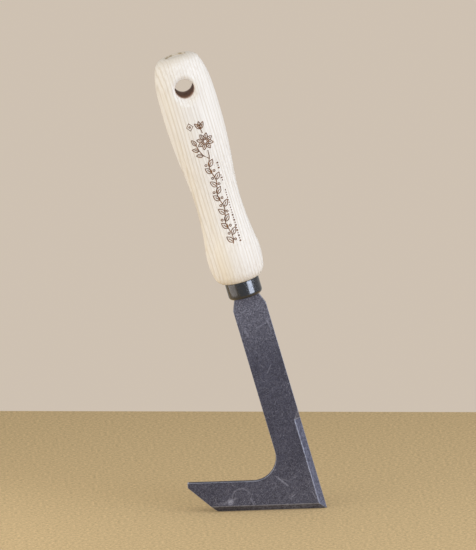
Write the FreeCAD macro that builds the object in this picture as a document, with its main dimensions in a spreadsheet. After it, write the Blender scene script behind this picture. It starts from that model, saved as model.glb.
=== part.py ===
"""A hand weeder for paving joints: an L-shaped flat steel blade, a short steel ferrule and a turned ash handle.

Row frame, in millimetres: the sole of the blade lies along X on the plane z = 0, the toe points to -X and the heel
to +X, the blade's ground face looks towards -Y, and +Z is up. The origin is under the middle of the whole tool.

The shank, the tang, the ferrule and the handle share one straight axis, the tool axis, which leans back over the
foot. All three bodies are drawn in the tool frame, whose Z runs up that axis from the level of the heel, whose X
points to the heel side and whose Y is the row's own Y. One placement then leans them back. A station is a distance
along the tool axis, measured from the heel.
"""

import FreeCAD
import Part
import math
import os
import Sketcher

from FreeCAD import Rotation, Vector

DRIVING_DIMENSIONS = [
    ("lean", 15, "angle between the tool axis and the vertical, in degrees"),
    ("heel_offset", 47.7, "distance from the origin to the heel corner, along X"),
    ("stock_width", 20, "width of the shank"),
    ("stock_thickness", 4, "thickness of the blade"),
    ("foot_length", 82, "heel corner to the end of the toe"),
    ("foot_height", 18, "height of the foot above the sole"),
    ("sole_length", 64.6, "heel corner to the start of the cut-back toe"),
    ("toe_angle", 41, "slope of the cut-back toe above the sole, in degrees"),
    ("toe_corner_round", 3, "rounding where the sole meets the cut-back toe"),
    ("toe_tip_chamfer", 0.6, "small chamfer at the top of the toe"),
    ("throat_round", 13.5, "inner rounding between the shank and the foot"),
    ("flare_station", 129, "station where the shank starts to narrow"),
    ("flare_round", 4, "rounding of the heel-side shoulder of the shank"),
    ("neck_station", 135.8, "station where the full thickness ends, just under the ferrule"),
    ("neck_width", 14.6, "width of the neck as it enters the ferrule"),
    ("tang_thickness", 3.6, "thickness of the tang"),
    ("tang_end_station", 206, "station of the tip of the tang"),
    ("tang_end_width", 5, "width of the tang at its tip"),
    ("sole_bevel_height", 3.4, "height of the bevel ground along the sole"),
    ("side_bevel_width", 3.6, "width of the bevel ground on the heel side of the shank"),
    ("side_bevel_station", 57, "station where the side bevel starts to run out"),
    ("runout_length", 5, "length over which the side bevel runs out"),
    ("bevel_depth", 3, "depth of both bevels at the cutting edge"),
    ("ferrule_station", 136, "station of the underside of the ferrule"),
    ("ferrule_length", 10.3, "length of the ferrule"),
    ("ferrule_radius", 10.15, "outer radius of the ferrule"),
    ("ferrule_wall", 1, "thickness of the ferrule's wall and bottom"),
    ("ferrule_round", 2.3, "outer rounding of the ferrule's lower edge"),
    ("shoulder_radius", 10.5, "radius of the flat shoulder that sits on the ferrule"),
    ("shoulder_round", 7.5, "profile radius of the rounding above the shoulder"),
    ("bulge_height", 15, "height of the lower bulge above the shoulder"),
    ("bulge_radius", 16.1, "radius of the handle at the lower bulge"),
    ("bulge_round", 43, "profile radius of the lower bulge"),
    ("waist_height", 48, "height of the waist above the shoulder"),
    ("waist_radius", 13.4, "radius of the handle at the waist"),
    ("belly_height", 104.5, "height of the belly above the shoulder"),
    ("belly_radius", 16.95, "radius of the handle at the belly"),
    ("crown_round", 52, "profile radius of the narrowing above the belly"),
    ("end_round", 7, "profile radius of the rounding at the handle's end"),
    ("end_flat_radius", 6.9, "radius of the flat at the handle's end"),
    ("handle_length", 138.5, "height of the handle's end above the shoulder"),
    ("recess_radius", 5.9, "radius of the recess turned in the handle's end"),
    ("recess_depth", 0.8, "depth of that recess"),
    ("hole_below_end", 18.4, "distance from the handle's end to the hanging hole"),
    ("hole_radius", 5.65, "radius of the hanging hole"),
    ("hole_straight_length", 27, "length of the hanging hole's straight wall"),
    ("hole_flare_angle", 50, "angle between the flared mouth's wall and the hole's axis, in degrees"),
]

SHEET_NAME = "Dimensions"
SKETCH_NORMAL = Vector(0, 0, 1)
START, END, CENTRE = 1, 2, 3
X_AXIS, Z_AXIS = -1, -2
SLACK = 0.5  # how far a cutting section reaches past the metal, as a share of its own size
CLEAR = 3.0  # how far a cut runs past the solid that it cuts
NEAR = 0.01  # how close a found edge or face has to be to where it is looked for
CUTTING_FEATURES = ("PartDesign::Pocket", "PartDesign::Groove", "PartDesign::SubtractiveLoft")


def cell(alias):
    """The expression that reads one driving dimension."""
    return f"{SHEET_NAME}.{alias}"


def make_sheet(doc):
    """One row for each driving dimension: what it is, and its value under its alias."""
    sheet = doc.addObject("Spreadsheet::Sheet", SHEET_NAME)
    for row, (alias, value, meaning) in enumerate(DRIVING_DIMENSIONS, start=1):
        sheet.set(f"A{row}", meaning)
        sheet.set(f"B{row}", str(value))
        sheet.setAlias(f"B{row}", alias)
    doc.recompute()
    return sheet


def make_body(doc, label):
    """An empty body, leaned back about the heel."""
    body = doc.addObject("PartDesign::Body", label)
    body.Label = label
    half_width = f"{cell('stock_width')} / 2"
    turn = f"{cell('lean')} * 1 deg"
    body.Placement = FreeCAD.Placement(Vector(0, 0, 0), Rotation(Vector(0, -1, 0), 1))
    body.setExpression("Placement.Rotation.Angle", turn)
    body.setExpression("Placement.Base.x", f"{cell('heel_offset')} - {half_width} * cos({turn})")
    body.setExpression("Placement.Base.z", f"-{half_width} * sin({turn})")
    return body


def make_sketch(body, name, role):
    """An empty sketch on one of the body's own origin planes."""
    sketch = body.newObject("Sketcher::SketchObject", name)
    plane = next(feature for feature in body.Origin.OriginFeatures if feature.Role == role)
    sketch.AttachmentSupport = [(plane, "")]
    sketch.MapMode = "FlatFace"
    return sketch


def line(start, end):
    """A straight sketch edge between two points."""
    return Part.LineSegment(Vector(*start, 0), Vector(*end, 0))


def arc(centre, radius, first, last):
    """A sketch arc about centre, counter-clockwise from the angle first to the angle last, in degrees."""
    circle = Part.Circle(Vector(*centre, 0), SKETCH_NORMAL, radius)
    return Part.ArcOfCircle(circle, math.radians(first), math.radians(last))


def polar(centre, radius, angle):
    """The point at a distance and an angle, in degrees, from centre."""
    turn = math.radians(angle)
    return centre[0] + radius * math.cos(turn), centre[1] + radius * math.sin(turn)


def angle_from(centre, point):
    """The direction from centre to point, in degrees."""
    return math.degrees(math.atan2(point[1] - centre[1], point[0] - centre[0]))


def crossing(first, first_radius, second, second_radius, side):
    """Where two circles cross. Seen from first to second, side is 1 for the crossing on the left, else -1."""
    gap = math.dist(first, second)
    cosine = (first_radius**2 + gap**2 - second_radius**2) / (2 * first_radius * gap)
    return polar(first, first_radius, angle_from(first, second) + side * math.degrees(math.acos(cosine)))


def polygon(sketch, points):
    """A closed run of lines, tied end to end. Line n starts at point n."""
    count = len(points)
    sketch.addGeometry([line(points[n], points[(n + 1) % count]) for n in range(count)], False)
    for n in range(count):
        rule(sketch, "Coincident", n, END, (n + 1) % count, START)


def rule(sketch, kind, *parts):
    """Adds a geometric constraint."""
    sketch.addConstraint(Sketcher.Constraint(kind, *parts))


def measured(sketch, kind, parts):
    """What a dimension reads on the sketch as it is drawn, so that adding it moves nothing."""
    if kind == "Radius":
        return sketch.Geometry[parts[0]].Radius
    if len(parts) == 1:
        run = sketch.Geometry[parts[0]].EndPoint - sketch.Geometry[parts[0]].StartPoint
        return run.Length if kind == "Distance" else math.atan2(run.y, run.x)
    first = sketch.getPoint(parts[0], parts[1])
    if len(parts) == 2:
        return first.x if kind == "DistanceX" else first.y
    if len(parts) == 3:
        edge = sketch.Geometry[parts[2]]
        return first.distanceToLine(edge.StartPoint, edge.EndPoint - edge.StartPoint)
    second = sketch.getPoint(parts[2], parts[3])
    return second.x - first.x if kind == "DistanceX" else second.y - first.y


def bind(sketch, kind, *parts, **named):
    """Adds one named dimension, whose value is the expression given under that name."""
    ((name, expression),) = named.items()
    index = sketch.addConstraint(Sketcher.Constraint(kind, *parts, measured(sketch, kind, parts)))
    sketch.renameConstraint(index, name)
    sketch.setExpression(f"Constraints.{name}", expression)


def add_feature(body, kind, name, profile, **settings):
    """A sketch-based feature with its settings, made the body's tip."""
    feature = body.newObject(f"PartDesign::{kind}", name)
    feature.Profile = profile
    for setting, value in settings.items():
        setattr(feature, setting, value)
    body.Tip = feature
    return feature


def add_both_ways(body, kind, name, profile, length):
    """A pad or pocket of the given length, half of it on each side of its sketch."""
    feature = add_feature(body, kind, name, profile, SideType="Symmetric")
    feature.setExpression("Length", length)
    return feature


def names_where(prefix, shapes, test):
    """The names of the edges or faces that pass a test."""
    return [f"{prefix}{n}" for n, shape in enumerate(shapes, start=1) if test(shape)]


def dress_edges(body, kind, name, test, **sizes):
    """A fillet or chamfer on those edges of the body's tip that pass a test."""
    body.Document.recompute()
    base = body.Tip
    feature = body.newObject(f"PartDesign::{kind}", name)
    feature.Base = (base, names_where("Edge", base.Shape.Edges, test))
    for size_name, expression in sizes.items():
        feature.setExpression(size_name, expression)
    body.Tip = feature
    return feature


def across_blade_at(point):
    """A test for the edge that crosses the blade's thickness at a point (x, z) of the tool frame."""

    def passes(edge):
        box = edge.BoundBox
        across = box.XLength < NEAR and box.ZLength < NEAR
        return across and math.dist((box.Center.x, box.Center.z), point) < NEAR

    return passes


def outermost_ring_at(station, radius):
    """A test for the full circle of that radius round the tool axis at a station."""

    def passes(edge):
        if not isinstance(edge.Curve, Part.Circle):
            return False
        return abs(edge.BoundBox.ZMax - station) < NEAR and abs(edge.Curve.Radius - radius) < NEAR

    return passes


# The blade: shank, foot and tang, one piece of flat steel.


def blade_corners(size):
    """The corners of the flat outline in the tool frame, from the heel along the sole and round to the heel side."""
    half = size("stock_width") / 2
    neck = size("neck_width") / 2
    lean = size("lean")
    foot_height = size("foot_height")
    toe_slope = math.tan(math.radians(size("toe_angle")))
    toe_rise = (size("foot_length") - size("sole_length")) * toe_slope

    def from_heel(along, above):
        """The point that far along the sole from the heel, and that far above the sole."""
        return polar(polar((half, 0.0), along, 180 - lean), above, 90 - lean)

    to_shank = (2 * half + foot_height * math.sin(math.radians(lean))) / math.cos(math.radians(lean))
    return [
        (half, 0.0),
        from_heel(size("sole_length"), 0),
        from_heel(size("foot_length"), toe_rise),
        from_heel(size("foot_length"), foot_height),
        from_heel(to_shank, foot_height),
        (-half, size("flare_station")),
        (-neck, size("neck_station")),
        (neck, size("neck_station")),
        (half, size("flare_station")),
    ]


def draw_blade_outline(sketch, corners):
    """The flat outline without its roundings. Its lines run from the heel along the sole and back to the heel."""
    sole, toe_slope, toe_end, foot_top, toe_side, left_flare, neck_top, right_flare, heel_side = range(9)
    lean = f"{cell('lean')} * 1 deg"
    polygon(sketch, corners)
    rule(sketch, "PointOnObject", sole, START, X_AXIS)
    rule(sketch, "Vertical", toe_side)
    rule(sketch, "Vertical", heel_side)
    rule(sketch, "Symmetric", left_flare, START, heel_side, START, Z_AXIS)
    rule(sketch, "Symmetric", neck_top, START, neck_top, END, Z_AXIS)
    rule(sketch, "Perpendicular", sole, toe_end)
    rule(sketch, "Parallel", sole, foot_top)
    bind(sketch, "Angle", sole, sole_tilt=f"180 deg - {lean}")
    bind(sketch, "Angle", toe_slope, toe_tilt=f"180 deg - {lean} - {cell('toe_angle')} * 1 deg")
    bind(sketch, "Distance", sole, sole_length=cell("sole_length"))
    bind(sketch, "Distance", sole, START, toe_end, foot_length=cell("foot_length"))
    bind(sketch, "Distance", sole, START, foot_top, foot_height=cell("foot_height"))
    bind(sketch, "DistanceX", left_flare, START, heel_side, START, stock_width=cell("stock_width"))
    bind(sketch, "DistanceX", neck_top, START, neck_top, END, neck_width=cell("neck_width"))
    bind(sketch, "DistanceY", heel_side, START, flare_station=cell("flare_station"))
    bind(sketch, "DistanceY", neck_top, START, neck_station=cell("neck_station"))


def draw_tang(sketch, size):
    """The tapered outline of the tang, from the neck to its tip."""
    neck = size("neck_width") / 2
    tip = size("tang_end_width") / 2
    low = size("neck_station")
    high = size("tang_end_station")
    polygon(sketch, [(-neck, low), (neck, low), (tip, high), (-tip, high)])
    bottom, _, top, _ = range(4)
    rule(sketch, "Symmetric", bottom, START, bottom, END, Z_AXIS)
    rule(sketch, "Symmetric", top, START, top, END, Z_AXIS)
    bind(sketch, "DistanceX", bottom, START, bottom, END, neck_width=cell("neck_width"))
    bind(sketch, "DistanceX", top, END, top, START, end_width=cell("tang_end_width"))
    bind(sketch, "DistanceY", bottom, START, neck_station=cell("neck_station"))
    bind(sketch, "DistanceY", top, START, end_station=cell("tang_end_station"))


def cut_tang_slot(body, name, size):
    """A slot of exactly the tang's shape, so that the tang fills it."""
    sketch = make_sketch(body, f"{name}Outline", "XZ_Plane")
    draw_tang(sketch, size)
    return add_both_ways(body, "Pocket", name, sketch, cell("tang_thickness"))


def draw_bevel_section(sketch, corner, reach, **places):
    """A right triangle with its square corner outside the metal. reach gives its two legs, with their signs."""
    x, y = corner
    along, up = reach
    polygon(sketch, [(x, y), (x + along, y), (x, y + up)])
    base, _, side = range(3)
    rule(sketch, "Horizontal", base)
    rule(sketch, "Vertical", side)
    ends = [(base, START), (base, END)] if along > 0 else [(base, END), (base, START)]
    bind(sketch, "DistanceX", *ends[0], *ends[1], leg_along=places["leg_along"])
    ends = [(side, END), (side, START)] if up > 0 else [(side, START), (side, END)]
    bind(sketch, "DistanceY", *ends[0], *ends[1], leg_up=places["leg_up"])
    bind(sketch, "DistanceX", base, START, corner_x=places["corner_x"])
    bind(sketch, "DistanceY", base, START, corner_y=places["corner_y"])


def grind_sole(body, size):
    """The bevel along the whole sole: a triangle in a plane square to the sole, cut both ways."""
    sketch = make_sketch(body, "SoleBevelSection", "YZ_Plane")
    sketch.AttachmentOffset = FreeCAD.Placement(Vector(0, 0, 0), Rotation(Vector(1, 0, 0), 1))
    sketch.setExpression("AttachmentOffset.Rotation.Angle", f"{cell('lean')} * 1 deg")
    sketch.setExpression("AttachmentOffset.Base.z", f"{cell('stock_width')} / 2")
    depth, height = size("bevel_depth"), size("sole_bevel_height")
    corner = (-size("stock_thickness") / 2 - SLACK * depth, -SLACK * height)
    draw_bevel_section(
        sketch,
        corner,
        ((1 + 2 * SLACK) * depth, (1 + 2 * SLACK) * height),
        leg_along=f"{1 + 2 * SLACK} * {cell('bevel_depth')}",
        leg_up=f"{1 + 2 * SLACK} * {cell('sole_bevel_height')}",
        corner_x=f"-{cell('stock_thickness')} / 2 - {SLACK} * {cell('bevel_depth')}",
        corner_y=f"-{SLACK} * {cell('sole_bevel_height')}",
    )
    return add_feature(body, "Pocket", "SoleBevel", sketch, SideType="Symmetric", Type="ThroughAll")


def grind_heel_side(body, size):
    """The bevel up the heel side. It keeps its width for a while, then slides out past the edge to run out."""
    stations = [
        ("SideBevelLow", f"-{CLEAR}", 0),
        ("SideBevelHigh", cell("side_bevel_station"), 0),
        ("SideBevelEnd", f"{cell('side_bevel_station')} + {cell('runout_length')}", 1),
    ]
    width, depth = size("side_bevel_width"), size("bevel_depth")
    sections = []
    for name, station, outward in stations:
        sketch = make_sketch(body, name, "XY_Plane")
        sketch.setExpression("AttachmentOffset.Base.z", station)
        x = size("stock_width") / 2 + (SLACK + outward) * width
        y = -size("stock_thickness") / 2 - SLACK * depth
        draw_bevel_section(
            sketch,
            (x, y),
            (-(1 + 2 * SLACK) * width, (1 + 2 * SLACK) * depth),
            leg_along=f"{1 + 2 * SLACK} * {cell('side_bevel_width')}",
            leg_up=f"{1 + 2 * SLACK} * {cell('bevel_depth')}",
            corner_x=f"{cell('stock_width')} / 2 + {SLACK + outward} * {cell('side_bevel_width')}",
            corner_y=f"-{cell('stock_thickness')} / 2 - {SLACK} * {cell('bevel_depth')}",
        )
        sections.append(sketch)
    return add_feature(body, "SubtractiveLoft", "SideBevel", sections[0], Sections=sections[1:], Ruled=True)


def build_blade(doc, size):
    """Flat stock with its rounded corners, a thinner tang, and the two bevels ground on its front."""
    body = make_body(doc, "blade")
    heel, toe_corner, _, toe_top, throat, _, _, _, heel_shoulder = blade_corners(size)
    outline = make_sketch(body, "BladeOutline", "XZ_Plane")
    draw_blade_outline(outline, blade_corners(size))
    add_both_ways(body, "Pad", "FlatStock", outline, cell("stock_thickness"))
    dress_edges(body, "Fillet", "ThroatRound", across_blade_at(throat), Radius=cell("throat_round"))
    dress_edges(body, "Fillet", "ToeCornerRound", across_blade_at(toe_corner), Radius=cell("toe_corner_round"))
    dress_edges(body, "Fillet", "ShoulderRound", across_blade_at(heel_shoulder), Radius=cell("flare_round"))
    dress_edges(body, "Chamfer", "ToeTipChamfer", across_blade_at(toe_top), Size=cell("toe_tip_chamfer"))
    tang = make_sketch(body, "TangOutline", "XZ_Plane")
    draw_tang(tang, size)
    add_both_ways(body, "Pad", "Tang", tang, cell("tang_thickness"))
    grind_sole(body, size)
    grind_heel_side(body, size)
    return body


# The ferrule: a short steel cup with a slot for the tang in its bottom.


def build_ferrule(doc, size):
    """A round blank, rounded at its lower edge, hollowed to its wall from above, and slotted."""
    body = make_body(doc, "ferrule")
    sketch = make_sketch(body, "FerruleCircle", "XY_Plane")
    sketch.setExpression("AttachmentOffset.Base.z", cell("ferrule_station"))
    circle = Part.Circle(Vector(0, 0, 0), SKETCH_NORMAL, size("ferrule_radius"))
    sketch.addGeometry(circle, False)
    rule(sketch, "Coincident", 0, CENTRE, X_AXIS, START)
    bind(sketch, "Radius", 0, ferrule_radius=cell("ferrule_radius"))
    blank = add_feature(body, "Pad", "Blank", sketch)
    blank.setExpression("Length", cell("ferrule_length"))
    low_ring = outermost_ring_at(size("ferrule_station"), size("ferrule_radius"))
    dress_edges(body, "Fillet", "LowerEdgeRound", low_ring, Radius=cell("ferrule_round"))
    doc.recompute()
    base = body.Tip
    top = size("ferrule_station") + size("ferrule_length")
    hollow = body.newObject("PartDesign::Thickness", "Hollow")
    hollow.Base = (base, names_where("Face", base.Shape.Faces, lambda face: face.BoundBox.ZMin > top - NEAR))
    hollow.Reversed = True
    hollow.setExpression("Value", cell("ferrule_wall"))
    body.Tip = hollow
    cut_tang_slot(body, "TangSlot", size)
    return body


# The handle: one turned piece of ash with a tenon below and a hanging hole near its end.


def handle_profile(size):
    """The handle's half profile in the tool frame, as edges from the tenon's bottom on the axis round to the axis."""
    tenon = size("ferrule_radius") - size("ferrule_wall")
    bottom = size("ferrule_station") + size("ferrule_wall")
    base = size("ferrule_station") + size("ferrule_length")
    top = base + size("handle_length")
    floor = top - size("recess_depth")

    bulge_round = size("bulge_round")
    waist_round = touching_sum(size, "bulge", "waist") - bulge_round
    belly_round = touching_sum(size, "belly", "waist") - waist_round
    bulge = (size("bulge_radius") - bulge_round, base + size("bulge_height"))
    waist = (size("waist_radius") + waist_round, base + size("waist_height"))
    belly = (size("belly_radius") - belly_round, base + size("belly_height"))
    shoulder_edge = (size("shoulder_radius"), base)
    shoulder_round = size("shoulder_round")
    shoulder = crossing(shoulder_edge, shoulder_round, bulge, bulge_round - shoulder_round, -1)
    end_round = size("end_round")
    end = (size("end_flat_radius"), top - end_round)
    crown_round = size("crown_round")
    crown = crossing(belly, belly_round - crown_round, end, crown_round - end_round, -1)

    up_bulge = angle_from(bulge, shoulder)
    up_waist = angle_from(bulge, waist)
    up_belly = angle_from(belly, waist)
    up_crown = angle_from(belly, crown)
    up_end = angle_from(crown, end)
    return [
        line((0, bottom), (tenon, bottom)),
        line((tenon, bottom), (tenon, base)),
        line((tenon, base), shoulder_edge),
        arc(shoulder, shoulder_round, angle_from(shoulder, shoulder_edge), up_bulge),
        arc(bulge, bulge_round, up_bulge, up_waist),
        arc(waist, waist_round, up_belly + 180, up_waist + 180),
        arc(belly, belly_round, up_belly, up_crown),
        arc(crown, crown_round, up_crown, up_end),
        arc(end, end_round, up_end, 90),
        line((size("end_flat_radius"), top), (size("recess_radius"), top)),
        line((size("recess_radius"), top), (size("recess_radius"), floor)),
        line((size("recess_radius"), floor), (0, floor)),
        line((0, floor), (0, bottom)),
    ]


def touching_sum(size, outer, waist):
    """The sum of the profile radii of the waist and of an outward curve that touches it."""
    rise = size(f"{waist}_height") - size(f"{outer}_height")
    step = size(f"{outer}_radius") - size(f"{waist}_radius")
    return (rise**2 + step**2) / (2 * step)


def draw_handle_profile(sketch, size):
    """The turned profile, with each arc tangent to the next and its sizes bound to the sheet."""
    bottom, tenon, seat, shoulder, bulge, waist, belly, crown, end, flat, recess, floor, axis = range(13)
    sketch.addGeometry(handle_profile(size), False)
    for edge in (bottom, seat, flat, floor):
        rule(sketch, "Horizontal", edge)
    for edge in (tenon, recess, axis):
        rule(sketch, "Vertical", edge)
    for first, second in [(bottom, tenon), (tenon, seat), (seat, shoulder)]:
        rule(sketch, "Coincident", first, END, second, START)
    for first, second in [(flat, recess), (recess, floor), (floor, axis), (axis, bottom)]:
        rule(sketch, "Coincident", first, END, second, START)
    rule(sketch, "Tangent", shoulder, END, bulge, START)
    rule(sketch, "Tangent", bulge, END, waist, END)
    rule(sketch, "Tangent", waist, START, belly, START)
    rule(sketch, "Tangent", belly, END, crown, START)
    rule(sketch, "Tangent", crown, END, end, START)
    rule(sketch, "Tangent", end, END, flat, START)
    rule(sketch, "PointOnObject", axis, START, Z_AXIS)

    base = f"{cell('ferrule_station')} + {cell('ferrule_length')}"
    waist_point, belly_point = 13, 14
    for name in ("waist", "belly"):
        height = size("ferrule_station") + size("ferrule_length") + size(f"{name}_height")
        sketch.addGeometry(Part.Point(Vector(size(f"{name}_radius"), height, 0)), True)
    for point, curve in [(waist_point, waist), (belly_point, belly)]:
        rule(sketch, "PointOnObject", point, START, curve)
        rule(sketch, "Horizontal", point, START, curve, CENTRE)
    bind(sketch, "DistanceX", waist_point, START, waist_radius=cell("waist_radius"))
    bind(sketch, "DistanceY", waist_point, START, waist_height=f"{base} + {cell('waist_height')}")
    bind(sketch, "DistanceX", belly_point, START, belly_radius=cell("belly_radius"))
    bind(sketch, "DistanceY", belly_point, START, belly_height=f"{base} + {cell('belly_height')}")
    bind(sketch, "DistanceX", bulge, CENTRE, bulge_centre=f"{cell('bulge_radius')} - {cell('bulge_round')}")
    bind(sketch, "DistanceY", bulge, CENTRE, bulge_height=f"{base} + {cell('bulge_height')}")
    bind(sketch, "Radius", shoulder, shoulder_round=cell("shoulder_round"))
    bind(sketch, "Radius", bulge, bulge_round=cell("bulge_round"))
    bind(sketch, "Radius", crown, crown_round=cell("crown_round"))
    bind(sketch, "Radius", end, end_round=cell("end_round"))
    bind(sketch, "DistanceX", tenon, START, tenon_radius=f"{cell('ferrule_radius')} - {cell('ferrule_wall')}")
    bind(sketch, "DistanceY", tenon, START, tenon_bottom=f"{cell('ferrule_station')} + {cell('ferrule_wall')}")
    bind(sketch, "DistanceX", shoulder, START, shoulder_radius=cell("shoulder_radius"))
    bind(sketch, "DistanceY", shoulder, START, shoulder_station=base)
    bind(sketch, "DistanceX", flat, START, end_flat_radius=cell("end_flat_radius"))
    bind(sketch, "DistanceY", flat, START, end_station=f"{base} + {cell('handle_length')}")
    bind(sketch, "DistanceX", recess, START, recess_radius=cell("recess_radius"))
    bind(sketch, "DistanceY", recess, END, recess, START, recess_depth=cell("recess_depth"))


def draw_hole_profile(sketch, size):
    """Half of the hanging hole's lengthwise section: a straight wall that flares out towards both mouths."""
    height = size("ferrule_station") + size("ferrule_length") + size("handle_length") - size("hole_below_end")
    radius = size("hole_radius")
    straight = size("hole_straight_length") / 2
    out = size("belly_radius") + CLEAR
    mouth = radius + (out - straight) * math.tan(math.radians(size("hole_flare_angle")))
    polygon(
        sketch,
        [
            (-out, height),
            (out, height),
            (out, height + mouth),
            (straight, height + radius),
            (-straight, height + radius),
            (-out, height + mouth),
        ],
    )
    middle, right, right_flare, wall, left_flare, _ = range(6)
    rule(sketch, "Symmetric", middle, START, middle, END, Z_AXIS)
    rule(sketch, "Symmetric", right, END, left_flare, END, Z_AXIS)
    rule(sketch, "Symmetric", wall, START, wall, END, Z_AXIS)
    rule(sketch, "Vertical", right)
    station = f"{cell('ferrule_station')} + {cell('ferrule_length')} + {cell('handle_length')}"
    bind(sketch, "DistanceY", middle, START, hole_station=f"{station} - {cell('hole_below_end')}")
    bind(sketch, "DistanceX", middle, START, middle, END, length=f"2 * ({cell('belly_radius')} + {CLEAR})")
    bind(sketch, "DistanceX", wall, END, wall, START, straight_length=cell("hole_straight_length"))
    bind(sketch, "DistanceY", middle, END, wall, START, hole_radius=cell("hole_radius"))
    bind(sketch, "Angle", right_flare, flare_angle=f"{cell('hole_flare_angle')} * 1 deg - 180 deg")


def build_handle(doc, size):
    """The turned handle with its rounded tenon, its hanging hole and the slot that the tang fills."""
    body = make_body(doc, "handle")
    profile = make_sketch(body, "HandleProfile", "XZ_Plane")
    draw_handle_profile(profile, size)
    add_feature(body, "Revolution", "Turned", profile, ReferenceAxis=(profile, ["V_Axis"]), Angle=360)
    tenon_ring = outermost_ring_at(
        size("ferrule_station") + size("ferrule_wall"), size("ferrule_radius") - size("ferrule_wall")
    )
    inner_round = f"{cell('ferrule_round')} - {cell('ferrule_wall')}"
    dress_edges(body, "Fillet", "TenonRound", tenon_ring, Radius=inner_round)
    hole = make_sketch(body, "HoleProfile", "YZ_Plane")
    draw_hole_profile(hole, size)
    add_feature(body, "Groove", "HangingHole", hole, ReferenceAxis=(hole, ["Edge1"]), Angle=360)
    cut_tang_slot(body, "TangSlot", size)
    return body


def check_document(doc):
    """Stops if any object failed to recompute, or if a sketch still has a free or a contradictory dimension."""
    for thing in doc.Objects:
        if "Invalid" in thing.State or "Error" in thing.State:
            raise RuntimeError(f"{thing.Label} failed: {thing.State}")
        if thing.isDerivedFrom("Sketcher::SketchObject") and (thing.solve() != 0 or not thing.FullyConstrained):
            raise RuntimeError(f"{thing.Label} is not fully constrained")


def check_removes(body, feature_name):
    """Stops if a cutting feature took no material away."""
    feature = body.Document.getObject(feature_name)
    before = feature.BaseFeature.Shape.Volume
    if not feature.Shape.Volume < before:
        raise RuntimeError(f"{feature_name} of {body.Label} cuts nothing")


def export(body):
    """Writes the body's solid to its own file, after checking that it is one sound solid."""
    shape = body.Shape
    if shape.isNull() or not shape.isValid() or len(shape.Solids) != 1:
        raise RuntimeError(f"{body.Label} is not one valid solid")
    shape.exportStep(f"parts/{body.Label}.step")


def main():
    doc = FreeCAD.newDocument("PavingJointWeeder")
    size = make_sheet(doc).get
    bodies = [build_blade(doc, size), build_ferrule(doc, size), build_handle(doc, size)]
    doc.recompute()
    check_document(doc)
    for body in bodies:
        for feature in body.Group:
            if feature.TypeId in CUTTING_FEATURES:
                check_removes(body, feature.Name)
    os.makedirs("parts", exist_ok=True)
    for body in bodies:
        export(body)


main()
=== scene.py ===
"""The looks of a hand weeder for paving joints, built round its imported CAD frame.

The blade, the ferrule and the handle each replace the CAD node of the same piece, at the same size and in
the same place. A fourth piece is the ornament burned into the handle.

Pieces are drawn in millimetres in the tool frame, and TO_ROW puts them in the row frame in metres. The tool
frame's Z runs up the tool's axis from the level of the heel, its X points to the heel side and its Y is the
row's own Y. A station is a distance along that axis, and a height is a distance above the handle's shoulder.
"""

import math

import bmesh
import bpy
from mathutils import Matrix, Vector, noise


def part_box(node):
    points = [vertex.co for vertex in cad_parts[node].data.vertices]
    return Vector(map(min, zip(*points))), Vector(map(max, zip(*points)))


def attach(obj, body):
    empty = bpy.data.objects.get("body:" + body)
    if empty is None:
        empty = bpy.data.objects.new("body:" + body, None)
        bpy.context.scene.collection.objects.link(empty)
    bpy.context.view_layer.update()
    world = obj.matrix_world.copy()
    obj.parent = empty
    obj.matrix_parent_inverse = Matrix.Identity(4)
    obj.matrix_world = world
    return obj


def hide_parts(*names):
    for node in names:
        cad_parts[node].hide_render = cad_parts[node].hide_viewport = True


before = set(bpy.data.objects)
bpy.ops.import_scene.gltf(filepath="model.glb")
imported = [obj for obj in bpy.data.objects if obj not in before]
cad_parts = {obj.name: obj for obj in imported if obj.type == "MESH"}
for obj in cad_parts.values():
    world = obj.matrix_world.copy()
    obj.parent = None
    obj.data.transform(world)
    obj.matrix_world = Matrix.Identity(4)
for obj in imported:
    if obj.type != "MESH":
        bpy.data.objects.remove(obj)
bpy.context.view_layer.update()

MM = 0.001
LEAN = math.radians(15)

# Blade, in millimetres.
STOCK_WIDTH = 20.0
HALF_WIDTH = STOCK_WIDTH / 2
HALF_THICKNESS = 2.0  # half the plate's
FOOT_LENGTH = 82.0
FOOT_HEIGHT = 18.0
SOLE_LENGTH = 64.6
TOE_SLOPE = math.radians(41)
TOE_CORNER_ROUND = 3.0
TOE_TIP_ROUND = 0.6
THROAT_ROUND = 13.5
FLARE_STATION = 129.0
FLARE_ROUND = 4.0
TOE_SIDE_FLARE_ROUND = 1.2
OUTLINE_STEP = 0.7
NECK_STATION = 135.8
NECK_WIDTH = 14.6
TANG_THICKNESS = 3.6
SOLE_BEVEL_HEIGHT = 3.4
SIDE_BEVEL_WIDTH = 3.6
SIDE_BEVEL_STATION = 57.0
RUNOUT_LENGTH = 5.0
BEVEL_DEPTH = 3.0
CUT_OVERRUN = 30.0  # how far the sole's cut is drawn past each end of the foot
SIDE_BEVEL_SHINE = 0.4  # how bright the side bevel is beside the sole's
BORDER_WEAR = 0.5  # how worn the edges between the flat front and the bevels are beside the outer edges
ARRIS = 0.28  # how far each edge is softened
TANG_SHOWN = 9.0  # how much of the tang is drawn inside the ferrule
TANG_TAPER = 0.6  # what the drawn tang loses on each side on its way up

# Ferrule, in millimetres.
FERRULE_STATION = 136.0
FERRULE_LENGTH = 10.3
FERRULE_RADIUS = 10.15
FERRULE_WALL = 1.0
FERRULE_ROUND = 2.3
FERRULE_INNER_ROUND = 1.5

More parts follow.
